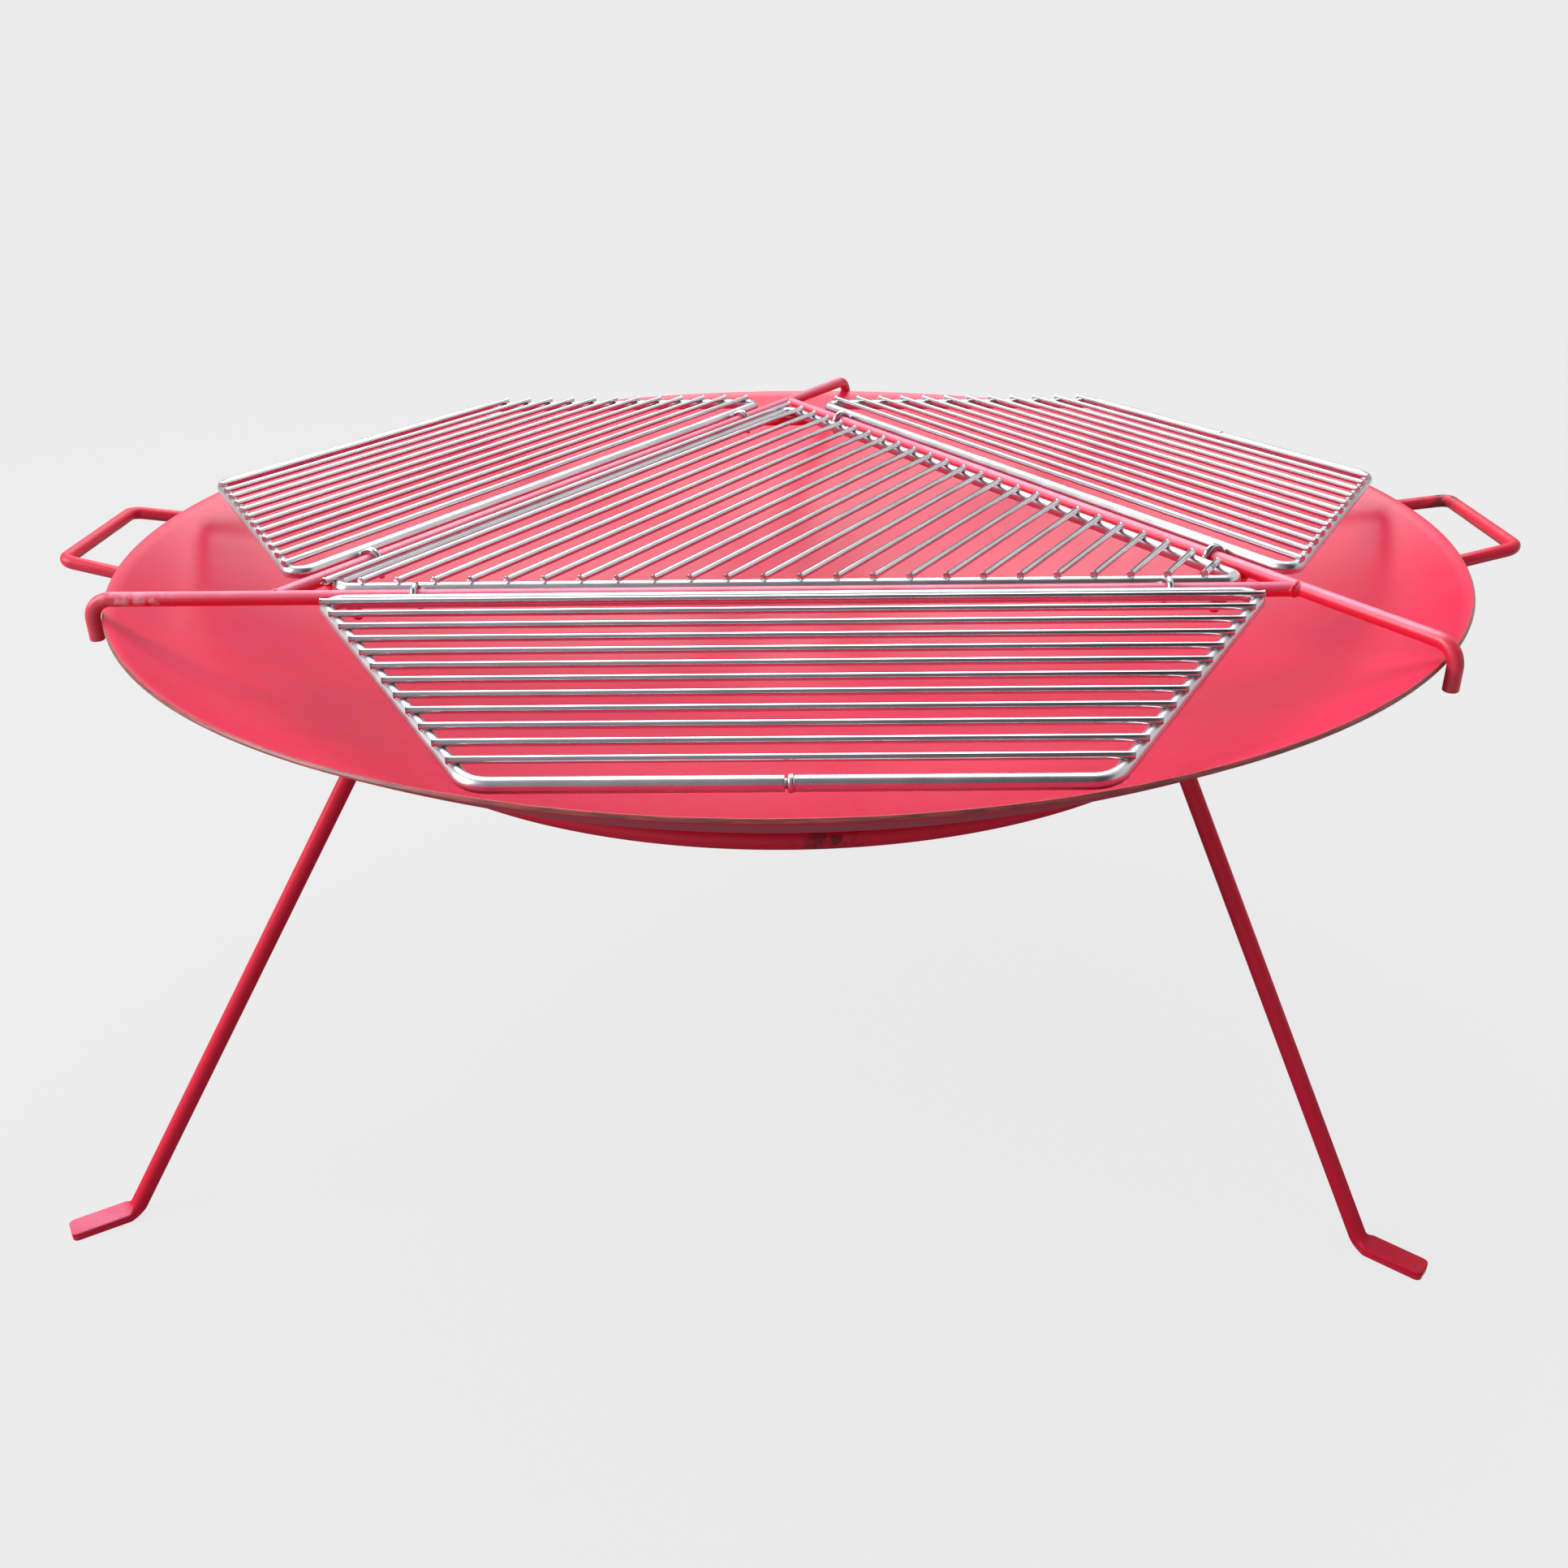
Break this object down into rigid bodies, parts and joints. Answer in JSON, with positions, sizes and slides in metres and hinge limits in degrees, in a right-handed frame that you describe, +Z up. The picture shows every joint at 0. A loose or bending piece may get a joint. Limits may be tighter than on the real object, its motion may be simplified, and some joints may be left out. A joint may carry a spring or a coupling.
{
  "type": "fire pit",
  "caption": "Shallow dished fire pit on a splayed three-legged stand, with a hooked bar frame that carries a triangular centre grate and hinged side grates",
  "frame": {"origin": "on the ground, in the middle of the box round the whole object", "axes": "+Z up, -Y the side of the front grate, +X across the two carrying handles"},
  "size_m": [1.0988, 1.091, 0.452],
  "materials": {
    "red_paint": "semi-gloss red paint on steel",
    "bright_wire": "bright polished steel wire"
  },
  "bodies": {
    "stand": {"stand_ring": "red_paint", "leg_front_left": "red_paint", "leg_front_right": "red_paint", "leg_rear": "red_paint"},
    "pan": {"fire_bowl": "red_paint", "handle_left": "red_paint", "handle_right": "red_paint"},
    "grill_frame": {"frame_bar_front": "red_paint", "frame_bar_right": "red_paint", "frame_bar_left": "red_paint", "corner_bar_left": "red_paint", "corner_bar_right": "red_paint", "corner_bar_rear": "red_paint"},
    "centre_grate": {"centre_grate": "bright_wire"},
    "front_side_grate": {"front_grate": "bright_wire", "front_grate_hook_left": "bright_wire", "front_grate_hook_right": "bright_wire"},
    "right_side_grate": {"right_grate": "bright_wire", "right_grate_hook_left": "bright_wire", "right_grate_hook_right": "bright_wire"},
    "left_side_grate": {"left_grate": "bright_wire", "left_grate_hook_left": "bright_wire", "left_grate_hook_right": "bright_wire"}
  },
  "joints": [
    {"name": "pan_lift", "type": "slide", "parent": "stand", "child": "pan", "axis": [0, 0, 1], "range_m": [0, 0.2]},
    {"name": "frame_lift", "type": "slide", "parent": "pan", "child": "grill_frame", "axis": [0, 0, 1], "range_m": [0, 0.15]},
    {"name": "centre_grate_lift", "type": "slide", "parent": "grill_frame", "child": "centre_grate", "axis": [0, 0, 1], "range_m": [0, 0.3]},
    {"name": "front_grate_hinge", "type": "hinge", "parent": "grill_frame", "child": "front_side_grate", "pos_m": [0.004, -0.24299, 0.44052], "axis": [-1, 0, 0], "range_deg": [0, 90]},
    {"name": "right_grate_hinge", "type": "hinge", "parent": "grill_frame", "child": "right_side_grate", "pos_m": [0.17654, 0.04374, 0.44052], "axis": [0.5, -0.866, 0], "range_deg": [-4, 90]},
    {"name": "left_grate_hinge", "type": "hinge", "parent": "grill_frame", "child": "left_side_grate", "pos_m": [-0.17104, 0.05326, 0.44052], "axis": [0.5, 0.866, 0], "range_deg": [-4.6, 90]}
  ]
}
